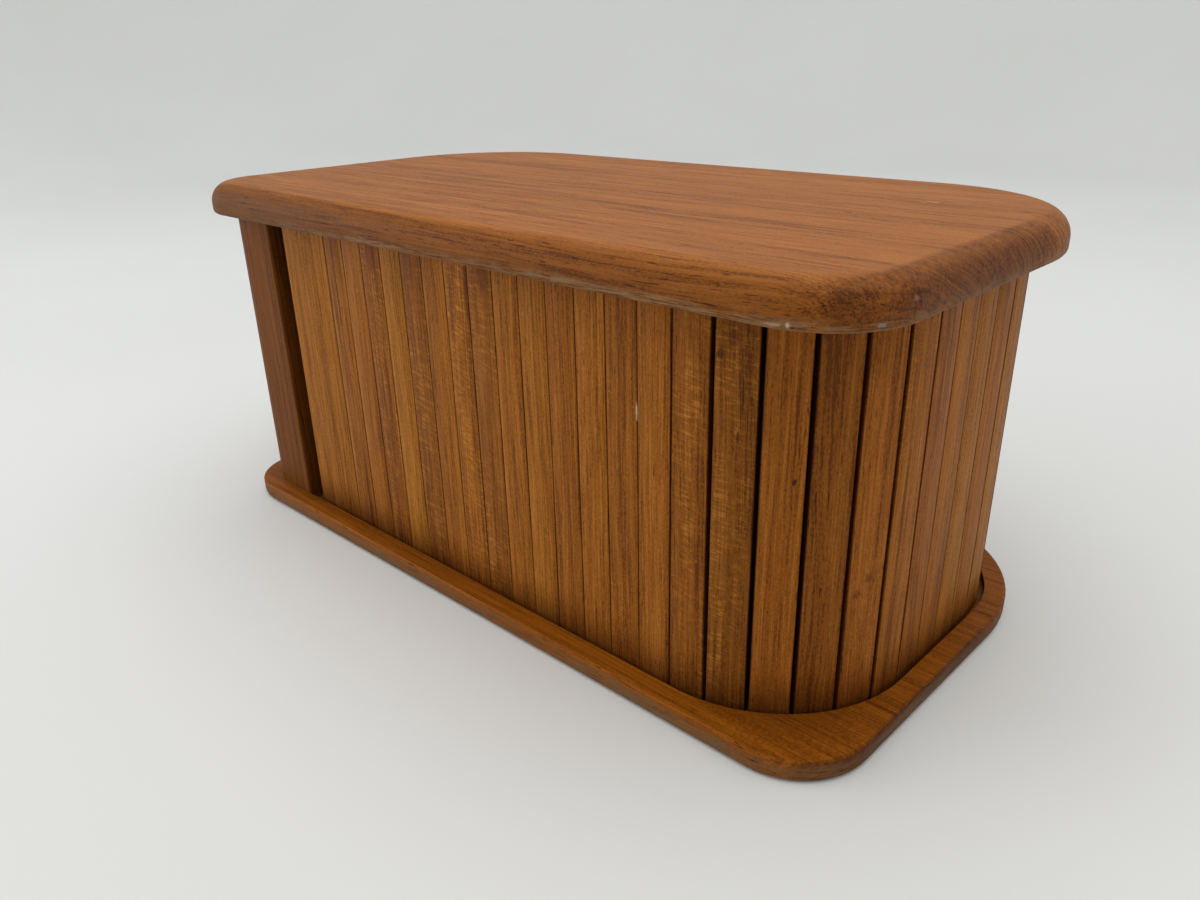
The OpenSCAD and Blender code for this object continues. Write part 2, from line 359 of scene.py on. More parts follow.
class EffectGroup:
    """A shader node group, built once and placed in every material that uses it."""

    def __init__(self, name: str, takes: dict[str, str], gives: dict[str, str]) -> None:
        """Makes the group's tree and its sockets.

        Args:
            name: the group's name.
            takes: input names, each with "Float", "Vector" or "Color".
            gives: output names, each with the same.
        """
        self.tree = bpy.data.node_groups.new(name, "ShaderNodeTree")
        for way, sockets in (("INPUT", takes), ("OUTPUT", gives)):
            for socket, kind in sockets.items():
                kind = f"NodeSocket{kind}"
                self.tree.interface.new_socket(name=socket, in_out=way, socket_type=kind)
        self.graph = Graph(self.tree)
        self.takes = self.tree.nodes.new("NodeGroupInput").outputs
        self.results = self.tree.nodes.new("NodeGroupOutput").inputs

    def give(self, name: str, value: Socket) -> None:
        """Joins a result to one of the group's outputs."""
        self.tree.links.new(value, self.results[name])


def build_teak_figure() -> None:
    """Builds the group that draws teak: bands, fine lines, pores, ripple and dark streaks.

    Its Place runs along the grain in X, across it in Y and into the wood in Z.
    """
    colours = {"Light": "Color", "Mid": "Color", "Dark": "Color"}
    amounts = {name: "Float" for name in ("Seed", "Bands", "Pores", "Ripple", "Streaks")}
    takes = {"Place": "Vector", **amounts, **colours}
    group = EffectGroup("teak_figure", takes, {"Color": "Color", "Height": "Float"})
    g, takes = group.graph, group.takes
    seed = takes["Seed"]

    def swing(spread: tuple, shift: float, share: float, detail: float = 1.0) -> Socket:
        """Adds noise that swings round zero, by a share of its own swing."""
        level = g.noise(place, spread, g.plus(seed, shift), detail, 0.6)
        return g.times(g.minus(level, 0.5), share)

    place = takes["Place"]
    sway = swing(SWAY, 0.0, 8 * MM)
    place = g.vector("ADD", place, g.join(0, sway, sway))
    lines = swing(FINE_LINES, 4.0, 1.0, 2)
    bands = g.plus(swing(BROAD_BANDS, 1.0, 1.5), swing(MIDDLE_BANDS, 2.0, 1.9, 2))
    bands = g.plus(bands, swing(NARROW_BANDS, 9.0, 2.2, 2))
    tone = g.times(g.plus(bands, g.times(lines, 2.4)), takes["Bands"])
    tone = g.plus(tone, swing(SPECKLE, 6.0, 1.3))
    tone = g.calc("ADD", tone, 0.5, clamp=True)
    colour = g.mix(g.ease(tone, 0.0, 0.5), takes["Dark"], takes["Mid"])
    colour = g.mix(g.ease(tone, 0.5, 1.0), colour, takes["Light"])
    # Streaks: long dark mineral lines
    streak = g.ease(g.noise(place, LONG_STREAKS, g.plus(seed, 3), 2, 0.6), 0.58, 0.74)
    streak = g.times(streak, takes["Streaks"])
    colour = g.tinge(streak, colour, STREAK_FACTOR)
    # Ripple: thin pale flecks across the grain, a little aslant, in patches
    along, across, deep = g.split(place)
    slant = g.join(g.plus(along, g.times(across, 0.16)), across, deep)
    flecks = g.ease(g.noise(slant, CROSS_FLECKS, seed, 1), 0.5, 0.64)
    patches = g.noise(place, FLECK_PATCHES, g.plus(seed, 7), 1)
    spared = g.minus(0.6, g.times(takes["Ripple"], 0.3))
    patches = g.ease(patches, spared, 0.68)
    ripple = g.times(g.times(flecks, patches), takes["Ripple"])
    colour = g.tinge(ripple, colour, FLECK_FACTOR)
    # Pores: short dark dashes along the grain
    edge = g.minus(0.73, g.times(takes["Pores"], 0.11))
    dashes = g.noise(place, PORE_DASHES, g.plus(seed, 5), 1)
    pores = g.ease(dashes, edge, g.plus(edge, 0.06))
    colour = g.tinge(pores, colour, PORE_FACTOR)
    height = g.minus(g.times(lines, 0.5), pores)
    height = g.plus(height, g.times(ripple, 0.3))
    group.give("Color", colour)
    group.give("Height", height)


def build_rim_wear_and_sheen() -> None:
    """Builds the group that paints a rim pale below a height, in scuffs along it: rubbing and
    painted sheen.
    """
    takes = {"Color": "Color", "Worn_and_sheen": "Color", "Place": "Vector"}
    takes |= {"Low": "Float", "High": "Float", "Amount": "Float"}
    group = EffectGroup("rim_wear_and_sheen", takes, {"Color": "Color", "Mask": "Float"})
    g, takes = group.graph, group.takes
    place = takes["Place"]
    height = g.split(place)[2]
    uneven = g.minus(g.noise(place, (45, 45, 120), 1.0, 3, 0.6), 0.5)
    height = g.plus(height, g.times(uneven, 4 * MM))
    level = g.ease(height, takes["High"], takes["Low"])
    # Pale scuffs along the rim: rubbing, and on the top board's lower round painted sheen
    scuffs = g.ease(g.noise(place, (110, 110, 1900), 2.0, 4, 0.65), 0.38, 0.6)
    patches = g.ease(g.noise(place, (14, 14, 14), 3.0, 1), 0.35, 0.6)
    mask = g.times(g.times(level, scuffs), takes["Amount"])
    mask = g.times(mask, g.plus(g.times(patches, 0.5), 0.5))
    group.give("Color", g.mix(mask, takes["Color"], takes["Worn_and_sheen"]))
    group.give("Mask", mask)


def build_end_rings() -> None:
    """Builds the group that draws growth rings where a board's end grain faces out."""
    takes = {"Color": "Color", "Place": "Vector", "Pith": "Vector", "Normal": "Vector"}
    group = EffectGroup("end_rings", takes, {"Color": "Color", "Height": "Float"})
    g, takes = group.graph, group.takes
    place = takes["Place"]
    flat = g.vector("MULTIPLY", g.vector("SUBTRACT", place, takes["Pith"]), (0, 1, 1))
    distance = g.vector("LENGTH", flat, (0, 0, 0), "Value")
    uneven = g.noise(place, (40, 60, 60), 4.0, 2)
    turns = g.plus(g.times(distance, RINGS), g.times(uneven, 4))
    rings = g.ease(g.noise(g.join(turns, 0, 0), (1, 1, 1), 5.0, 2, 0.7), 0.36, 0.64)
    far = g.ease(g.split(place)[1], 5 * MM, 35 * MM)
    specks = g.ease(g.noise(place, (600, 2000, 2000), 6.0, 1), 0.55, 0.7)
    out, side, _ = g.split(takes["Normal"])
    side = g.times(g.calc("ABSOLUTE", side), 0.5)
    turned = g.minus(g.calc("ABSOLUTE", out), side)
    facing = g.plus(g.ease(turned, 0.03, 0.22, 0.6), g.ease(turned, 0.45, 0.9, 0.4))
    factor = g.mix(rings, *RING_FACTORS_FRONT)
    factor = g.mix(far, factor, g.mix(rings, *RING_FACTORS_REAR))
    factor = g.mix(g.times(specks, 0.5), factor, RING_SPECK_FACTOR)
    group.give("Color", g.tinge(facing, takes["Color"], factor))
    group.give("Height", g.times(g.plus(rings, specks), facing))


def build_mark() -> None:
    """Builds the group that finds one small mark on a surface, ragged at its rim."""
    takes = {"Place": "Vector", "Point": "Vector", "Reach": "Vector"}
    group = EffectGroup("mark", takes, {"Mask": "Float"})
    g, takes = group.graph, group.takes
    jag = g.noise(takes["Place"], (900, 900, 900), 8.0, 2)
    away = g.vector("SUBTRACT", takes["Place"], takes["Point"])
    away = g.vector("LENGTH", g.vector("DIVIDE", away, takes["Reach"]), (0, 0, 0), "Value")
    away = g.plus(away, g.times(g.minus(jag, 0.5), 1.4))
    group.give("Mask", g.ease(away, 1.0, 0.4))


@dataclass(frozen=True)
class Mark:
    """A chip, dent, stained patch or streak, or a patch of painted shade.

    Attributes:
        point: where its middle is, in millimetres.
        reach: how far it goes along each axis, in millimetres.
        colour: its colour as it is seen.
        share: how strongly it covers the wood.
        dent: how far it goes in, as a share of the relief.
    """

    point: Triple
    reach: Triple
    colour: str = "#b09a84"
    share: float = 0.6
    dent: float = 0.0


def add_marks(
    g: Graph, place: Socket, marks: Iterable[Mark], colour: Socket, height: Socket
) -> tuple[Socket, Socket]:
    """Puts marks on a surface.

    Args:
        g: the material's graph.
        place: object coordinates.
        marks: the marks.
        colour: the colour so far.
        height: the relief so far.

    Returns:
        The colour and the relief with the marks in them.
    """
    for mark in marks:
        point, reach = Vector(mark.point) * MM, Vector(mark.reach) * MM
        (mask,) = g.group("mark", {"Place": place, "Point": point, "Reach": reach})
        colour = g.mix(g.times(mask, mark.share), colour, tint(mark.colour))
        height = g.minus(height, g.times(mask, mark.dent))
    return colour, height


class Grain(Enum):
    """Which way the grain runs in a board that stays where the solids put it."""

    LENGTHWISE = "along the box"
    UPRIGHT = "up and down"


@dataclass(frozen=True)
class TeakFinish:
    """One board's wood and oil, its rubbed rim with painted sheen, and painted shade on one side.

    Attributes:
        light: the colour of its pale bands; mid and dark follow.
        grain: which way it runs.
        seed: sets its pattern apart.
        bands: how strong its bands are; pores, ripple and streaks likewise.
        gloss: how strongly it reflects at a right angle.
        relief: how deep its grain feels.
        side_shade: how much painted shade darkens the side that faces along shaded_side.
        wear_and_sheen_band: the heights where its rim is rubbed pale and painted with sheen most,
            and where that ends.
        wear_and_sheen_colour: the colour of its rubbed rim and its painted sheen.
        rings: whether end grain shows where it faces out.
        pith: where the tree's heart lies, which the rings go round.
    """

    name: str
    light: str
    mid: str
    dark: str
    grain: Grain = Grain.LENGTHWISE
    seed: float = 0.0
    bands: float = 1.0
    pores: float = 0.6
    ripple: float = 0.0
    streaks: float = 0.2
    roughness: float = 0.5
    gloss: float = 0.2
    relief: float = 0.35
    side_shade: float = 0.0
    shaded_side: Triple = (0.0, -1.0, 0.0)
    wear_and_sheen_band: tuple[float, float] | None = None
    wear_and_sheen_amount: float = 0.6
    wear_and_sheen_colour: str = "#9a8878"
    rings: bool = False
    pith: Triple = (0.0, 0.02, 0.06)
    marks: tuple[Mark, ...] = ()

    def make(self) -> bpy.types.Material:
        """Builds the material.

        Returns:
            A material that reads the piece's own object coordinates.
        """
        material, g = start_material(self.name)
        spot = g.node("ShaderNodeTexCoord", {})
        body, normal = spot.outputs["Object"], spot.outputs["Normal"]
        colour, height = self._figure(g, body, normal)
        rough = g.plus(self.roughness, g.times(height, -0.06))
        if self.rings:
            feeds = {"Color": colour, "Place": body, "Pith": self.pith, "Normal": normal}
            colour, ring_height = g.group("end_rings", feeds)
            height = g.minus(height, g.times(ring_height, 0.25))
        # The faces turned to one side are darkened: painted shade
        if self.side_shade:
            turned = g.vector("DOT_PRODUCT", normal, self.shaded_side, "Value")
            share = g.ease(turned, 0.2, 0.8, self.side_shade)
            colour = g.tinge(share, colour, SIDE_SHADE_FACTOR)
        if self.wear_and_sheen_band:
            feeds = {"Color": colour, "Worn_and_sheen": tint(self.wear_and_sheen_colour), "Place": body}
            feeds |= {"Low": self.wear_and_sheen_band[0], "High": self.wear_and_sheen_band[1], "Amount": self.wear_and_sheen_amount}
            colour, mask = g.group("rim_wear_and_sheen", feeds)
            rough = g.plus(rough, g.times(mask, 0.2))
        colour, height = add_marks(g, body, self.marks, colour, height)
        feeds = {"Normal": g.bump(height, self.relief), "Specular IOR Level": self.gloss}
        g.surface({"Base Color": colour, "Roughness": rough, **feeds})
        return material

    def _figure(self, g: Graph, body: Socket, normal: Socket) -> list[Socket]:
        """Draws the grain along the board, with half the pores where it faces up or down.

        Args:
            g: the material's graph.
            body: object coordinates.
            normal: which way the surface faces.

        Returns:
            The colour and the relief.
        """
        x, y, z = g.split(body)
        place = body if self.grain is Grain.LENGTHWISE else g.join(z, x, y)
        lift = g.calc("ABSOLUTE", g.split(normal)[2])
        pores = g.plus(g.ease(lift, 0.98, 0.5, self.pores * 0.5), self.pores * 0.5)
        feeds = {"Place": place, "Seed": self.seed, "Bands": self.bands, "Pores": pores}
        feeds |= {"Ripple": self.ripple, "Streaks": self.streaks, "Light": tint(self.light)}
        feeds |= {"Mid": tint(self.mid), "Dark": tint(self.dark)}
        return g.group("teak_figure", feeds)


@dataclass(frozen=True)
class SlatFinish:
    """The slats' teak: one material that reads each slat's own figure from its mesh.

    Attributes:
        light: the colour of the pale bands; mid and dark follow.
        bands: how strong the bands are, and pores likewise.
        relief: how deep the grain feels.
        redden: how far the hue of the reddest wood would turn.
        face: where a slat's face lies, measured inwards from its back.
        ledge: the height of the base's upper side.
        seam_dirt: how far grime reaches from a seam.
        foot_shade: how far painted shade reaches up from the base.
        wander: how far the rim of the seam grime and of the painted foot shade strays.
        dirt_and_shade: how much of the wood the seam grime and the painted foot shade cover.
    """

    name: str = "slat_teak"
    light: str = "#ab6c25"
    mid: str = "#935814"
    dark: str = "#6b3b0c"
    bands: float = 0.65
    pores: float = 0.45
    roughness: float = 0.5
    gloss: float = 0.085
    relief: float = 0.3
    redden: float = 0.012
    face: float = -4.5 * MM
    ledge: float = 7.5 * MM
    seam_dirt: float = 0.2 * MM
    foot_shade: float = 16 * MM
    wander: float = 0.6 * MM
    dirt_and_shade: float = 0.7
    marks: tuple[Mark, ...] = (
        Mark((129.2, -63.6, 81), (0.8, 0.8, 1.4), "#2a1a12", 0.85, 1.5),
        Mark((83.8, -74.5, 93), (0.5, 1.2, 3.5), "#cdb497", 0.8, 1.0),
        Mark((117, -70.8, 104.5), (0.4, 1.2, 6), "#3c1f0c", 0.8),
        Mark((116, -71, 92.5), (0.4, 1.2, 3), "#3c1f0c", 0.7),
        Mark((111, -73.2, 115), (1.2, 1.2, 2), "#3c1d0c", 0.7),
        Mark((114.5, -72, 119.5), (2.5, 1.4, 2.5), "#4a260f", 0.5),
        Mark((146.8, -6, 23), (2, 4, 3), "#8a3320", 0.35),
        Mark((-67, -74.5, 118), (1.2, 1.2, 18), "#65350f", 0.5),
        Mark((-69, -74.5, 91), (1, 1.2, 20), "#65350f", 0.4),
        Mark((-72, -74.5, 59), (1, 1.2, 18), "#65350f", 0.4),
        Mark((-42, -74.5, 122), (4, 1.5, 10), "#64290f", 0.45),
        Mark((-19, -74.5, 120), (4, 1.5, 9), "#69361c", 0.4),
        Mark((11, -74.5, 115), (1.5, 1.2, 11), "#552a0e", 0.55),
        Mark((3, -74.5, 108), (1.2, 1.2, 13), "#65360f", 0.45),
        Mark((20, -74.5, 122), (4, 1.5, 7), "#552610", 0.45),
        Mark((140.1, -51.6, 41), (1.2, 2.2, 2), "#47250c", 0.5),
        Mark((141.9, -47.8, 44.5), (1.2, 2.2, 2), "#47250c", 0.5),
        Mark((143.4, -44.1, 49), (1.2, 2.2, 2), "#47250c", 0.5),
        Mark((147, -26.3, 87), (2, 1.5, 20), "#5d2413", 0.45),
    )

    def make(self) -> bpy.types.Material:
        """Builds the material.

        Returns:
            A material that reads the attributes grain_place, slat_figure and slat_marks.
        """
        material, g = start_material(self.name)

        def read(name: str) -> Socket:
            """Reads one of the mesh's attributes."""
            return g.node("ShaderNodeAttribute", {}, attribute_name=name).outputs["Vector"]

        place = read("grain_place")
        tone, red, ripple = g.split(read("slat_figure"))
        streaks, seed, width = g.split(read("slat_marks"))
        feeds = {"Place": place, "Seed": seed, "Bands": self.bands, "Pores": self.pores}
        feeds |= {"Ripple": ripple, "Streaks": streaks, "Light": tint(self.light)}
        feeds |= {"Mid": tint(self.mid), "Dark": tint(self.dark)}
        colour, height = g.group("teak_figure", feeds)
        hue = g.minus(0.5, g.times(red, self.redden))
        value = g.plus(1.0, tone)
        feeds = {"Hue": hue, "Value": value, "Color": colour}
        colour = g.node("ShaderNodeHueSaturation", feeds).outputs[0]
        # Grime in the seams, and painted shade on the hidden sides and along the foot
        dirt_and_shade = self._dirt_and_shade(g, place, seed, width)
        colour = g.tinge(dirt_and_shade, colour, DIRT_AND_SHADE_FACTOR)
        body = g.node("ShaderNodeTexCoord", {}).outputs["Object"]
        colour, height = add_marks(g, body, self.marks, colour, height)
        bump = g.bump(height, self.relief)
        rough = g.plus(self.roughness, g.times(dirt_and_shade, 0.3))
        feeds = {"Normal": bump, "Specular IOR Level": self.gloss}
        g.surface({"Base Color": colour, "Roughness": rough, **feeds})
        return material

    def _dirt_and_shade(self, g: Graph, place: Socket, seed: Socket, width: Socket) -> Socket:
        """Finds the grime in the seams, and the painted shade on the hidden sides and along the
        foot.

        Args:
            g: the material's graph.
            place: the attribute grain_place: up the slat, across it and inwards, 0 at its back.
            seed: the slat's own seed.
            width: the slat's width.

        Returns:
            A mask from 0 to 1.
        """
        up, across, deep = g.split(place)
        edge = g.calc("MINIMUM", across, g.minus(width, across))
        uneven = g.times(g.noise(place, (40, 300, 300), seed, 3, 0.6), self.wander)
        edge = g.minus(edge, uneven)
        seam = g.ease(edge, self.seam_dirt, -self.seam_dirt, self.dirt_and_shade)
        # The sides hidden in the gaps are darkened: painted shade
        hidden_side_shade = g.ease(deep, self.face + 0.1 * MM, self.face + 0.7 * MM)
        # Darker towards the base along the foot: painted shade
        low, high = self.ledge - 3 * MM, self.ledge + self.foot_shade
        foot = g.ease(g.plus(up, uneven), high, low, self.dirt_and_shade)
        return g.calc("MAXIMUM", g.calc("MAXIMUM", seam, foot), hidden_side_shade)


@dataclass(frozen=True)
class ClothFinish:
    """The backing cloth: a close plain weave, dark so that the gaps between the slats read black:
    painted shade.
    """

    name: str = "backing_cloth"
    thread: str = "#3a2d22"
    hollow: str = "#15100c"
    dust: str = "#4d3d2e"
    threads_to_metre: float = 1400.0

    def make(self) -> bpy.types.Material:
        """Builds the material.

        Returns:
            A material that reads the attribute weave_place.
        """
        material, g = start_material(self.name)
        place = g.node("ShaderNodeAttribute", {}, attribute_name="weave_place").outputs["Vector"]
        along, up, _ = g.split(place)
        turn = math.pi * self.threads_to_metre
        warp = g.calc("SINE", g.times(along, turn))
        weft = g.calc("SINE", g.times(up, turn))
        weave = g.calc("ABSOLUTE", g.times(warp, weft))
        dust = g.noise(place, (60, 60, 60), 1.0, 3)
        thread = g.mix(g.ease(dust, 0.35, 0.7), tint(self.thread), tint(self.dust))
        colour = g.mix(weave, tint(self.hollow), thread)
        bump = g.bump(weave, 0.5, 0.2 * MM)
        g.surface({"Base Color": colour, "Roughness": 0.9, "Normal": bump})
        return material


# ------------------------------------------------------------
# The carcass: solids that keep their shape


@dataclass
class Carcass:
    """The boards, post and walls, whose solids stay and get their wood."""

    top_teak: TeakFinish = TeakFinish(
        "top_teak", "#ab6a30", "#9a5c24", "#733f14", seed=2.0, bands=0.72, pores=0.9,
        # The front of the bullnose is darkened: painted shade
        streaks=0.1, gloss=0.1, relief=0.45, side_shade=0.7,
        # The pale band on the bullnose's lower round is rubbing and painted sheen
        wear_and_sheen_band=(0.1288, 0.1314), wear_and_sheen_amount=0.85, wear_and_sheen_colour="#8c7050",
        rings=True, pith=(0.0, -0.07, 0.085),
        marks=(
            # The first mark darkens the left half of the bullnose: painted shade
            Mark((-115, -83.5, 133), (100, 8, 12), "#4f2c12", 0.42),
            Mark((137.1, -83.8, 129), (0.9, 0.9, 0.8), "#baa68c", 0.8, 2.0),
            Mark((133.5, -84.2, 128.8), (3, 2, 0.5), "#a38b70", 0.7),
            Mark((153.3, -71.3, 129.2), (1, 1.8, 0.6), "#8f8680", 0.6, 1.0),
            Mark((156.2, -61, 133.8), (1.6, 1.2, 0.9), "#7d6d62", 0.5, 2.0),
            Mark((113, 34, 139.5), (2.8, 0.9, 1), "#c98f5e", 0.9, 0.5),
            Mark((111, 31.5, 139.5), (1.6, 0.6, 1), "#c98f5e", 0.7, 0.5),
        ),
    )
    base_teak: TeakFinish = TeakFinish(
        "base_teak", "#965510", "#83480a", "#5c2e06", seed=9.0, bands=0.6, pores=0.9,
        streaks=0.1, gloss=0.085,
        wear_and_sheen_band=(0.0048, 0.0066), wear_and_sheen_amount=0.9, wear_and_sheen_colour="#6d5a42",
        rings=True, pith=(0.0, -0.03, -0.05),
        # A broad dark patch by the right front corner of the base: painted shade
        marks=(Mark((128, -62, 9.5), (32, 22, 20), "#4a1e02", 0.45),),
    )
    post_teak: TeakFinish = TeakFinish(
        "post_teak", "#7f4b21", "#724118", "#58300f", grain=Grain.UPRIGHT, seed=4.0,
        # The side toward the gap beside the lead slat is darkened: painted shade
        bands=0.7, pores=0.45, gloss=0.05, side_shade=0.75, shaded_side=(1.0, 0.0, 0.0),
    )
    wall_teak: TeakFinish = TeakFinish(
        "wall_teak", "#9a6028", "#88501c", "#683a10", grain=Grain.UPRIGHT, seed=6.0,
        bands=0.6, pores=0.5,
    )
    back_teak: TeakFinish = TeakFinish(
        "back_teak", "#9a6028", "#88501c", "#683a10", seed=12.0, bands=0.6, pores=0.5,
    )
    inner_teak: TeakFinish = TeakFinish(
        "inner_teak", "#b98a58", "#a27245", "#825734", seed=15.0, bands=0.8, pores=0.5,
        roughness=0.6,
    )
    dowel_wood: TeakFinish = TeakFinish(
        "dowel_wood", "#d9c09a", "#c9ac80", "#b09067", grain=Grain.UPRIGHT, seed=17.0,
        bands=0.4, pores=0.1, streaks=0.0, roughness=0.6,
    )

    def dress(self) -> None:
        """Gives each solid its wood."""
        woods = {
            self.top_teak: ("top_board",),
            self.base_teak: ("base_board",),
            self.post_teak: ("front_post",),
            self.wall_teak: ("left_wall", "rear_corner"),
            self.back_teak: ("back_wall",),
            self.inner_teak: ("inner_back_board", "inner_end_board"),
            self.dowel_wood: ("dowels",),
        }
        for finish, nodes in woods.items():
            material = finish.make()
            for node in nodes:
                solid = frame["nodes"][node]
                solid.data.materials.clear()
                solid.data.materials.append(material)
                LOG.info("%s keeps its solid, in %s", node, finish.name)


# ------------------------------------------------------------
# The shutter: slats on a cloth that follow the groove


class Figure(Enum):
    """What a slat's face shows: how rippled it is and how streaked."""

    PLAIN = (0.0, 0.15)
    LINED = (0.15, 0.6)
    STREAKED = (0.15, 1.0)
    MOTTLED = (0.5, 0.5)
    RIPPLED = (1.0, 0.25)


class Shade(Enum):
    """How light and how red a slat's wood is."""

    PALE = (0.12, -0.2)
    GOLDEN = (0.05, 0.0)
    MID = (0.0, 0.2)
    TAWNY = (-0.06, 0.3)
    RUSSET = (-0.13, 0.5)
    DARK = (-0.24, 0.4)
    # UMBER serves slat 16 at the front corner, as painted shade
    UMBER = (-0.34, 0.3)


PLAIN, LINED, STREAKED, MOTTLED, RIPPLED = Figure
PALE, GOLDEN, MID, TAWNY, RUSSET, DARK, UMBER = Shade

# The slats behind the lead slat, in their order along the track
SLATS: tuple[tuple[Shade, Figure], ...] = (
    (TAWNY, STREAKED),
    (TAWNY, PLAIN),
    (TAWNY, RIPPLED),
    (PALE, PLAIN),
    (DARK, RIPPLED),
    (MID, PLAIN),
    (MID, RIPPLED),
    (DARK, RIPPLED),
    (MID, LINED),
    (GOLDEN, LINED),
    (TAWNY, STREAKED),
    (MID, LINED),
    (TAWNY, MOTTLED),
    (TAWNY, PLAIN),
    # Slats 15 to 19 round the front corner have darker shades: painted shade
    (DARK, RIPPLED),
    (UMBER, RIPPLED),
    (RUSSET, PLAIN),
    (DARK, PLAIN),
    (RUSSET, LINED),
    (MID, MOTTLED),
    (RUSSET, STREAKED),
    (MID, PLAIN),
    (PALE, LINED),
    (TAWNY, PLAIN),
    (PALE, LINED),
    (MID, RIPPLED),
    (TAWNY, PLAIN),
    (PALE, LINED),
    (MID, MOTTLED),
    (RUSSET, PLAIN),
    (MID, STREAKED),
)


@dataclass(frozen=True)
class Track:
    """The line that the cloth follows, measured from the post's face.

    Attributes:
        start: where it begins, at the post's face.
        front: how far forward its front straight lies.
        corner_x: where both right-hand corners begin.
        front_corner_y: the front corner's centre, and rear_corner_y the rear one's.
        radius: the radius of both corners.
    """

    start: float = -110 * MM
    front: float = -70 * MM
    corner_x: float = 99.5 * MM
    front_corner_y: float = -27 * MM
    rear_corner_y: float = 24 * MM
    radius: float = 43 * MM

    def at(self, run: float) -> Vector:
        """Gives a point of the line.

        Args:
            run: its distance along the line.

        Returns:
            The point, at height 0.
        """
        straight = self.corner_x - self.start
        quarter = math.pi / 2 * self.radius
        side = self.rear_corner_y - self.front_corner_y
        if run <= straight:
            return Vector((self.start + run, self.front, 0))
        run -= straight
        if run <= quarter:
            return self._corner(self.front_corner_y, run / self.radius)
        run -= quarter
        if run <= side:
            return Vector((self.corner_x + self.radius, self.front_corner_y + run, 0))
        run -= side
        if run <= quarter:
            return self._corner(self.rear_corner_y, math.pi / 2 + run / self.radius)
        run -= quarter
        return Vector((self.corner_x - run, self.rear_corner_y + self.radius, 0))

    def _corner(self, centre_y: float, turn: float) -> Vector:
        """Gives the point of a corner's arc, turned from its front end."""
        out, back = self.radius * math.sin(turn), self.radius * math.cos(turn)
        return Vector((self.corner_x + out, centre_y - back, 0))

    def after(self, run: float, pitch: float) -> float:
        """Finds where the next pin lies, one straight pitch further on.

        Args:
            run: the pin's distance along the line.
            pitch: the straight distance between two pins.

        Returns:
            The next pin's distance along the line, by halving 40 times.
        """
        here, low, high = self.at(run), run, run + 1.2 * pitch
        for _ in range(40):
            middle = (low + high) / 2
            low, high = (middle, high) if (self.at(middle) - here).length < pitch else (low, middle)
        return low


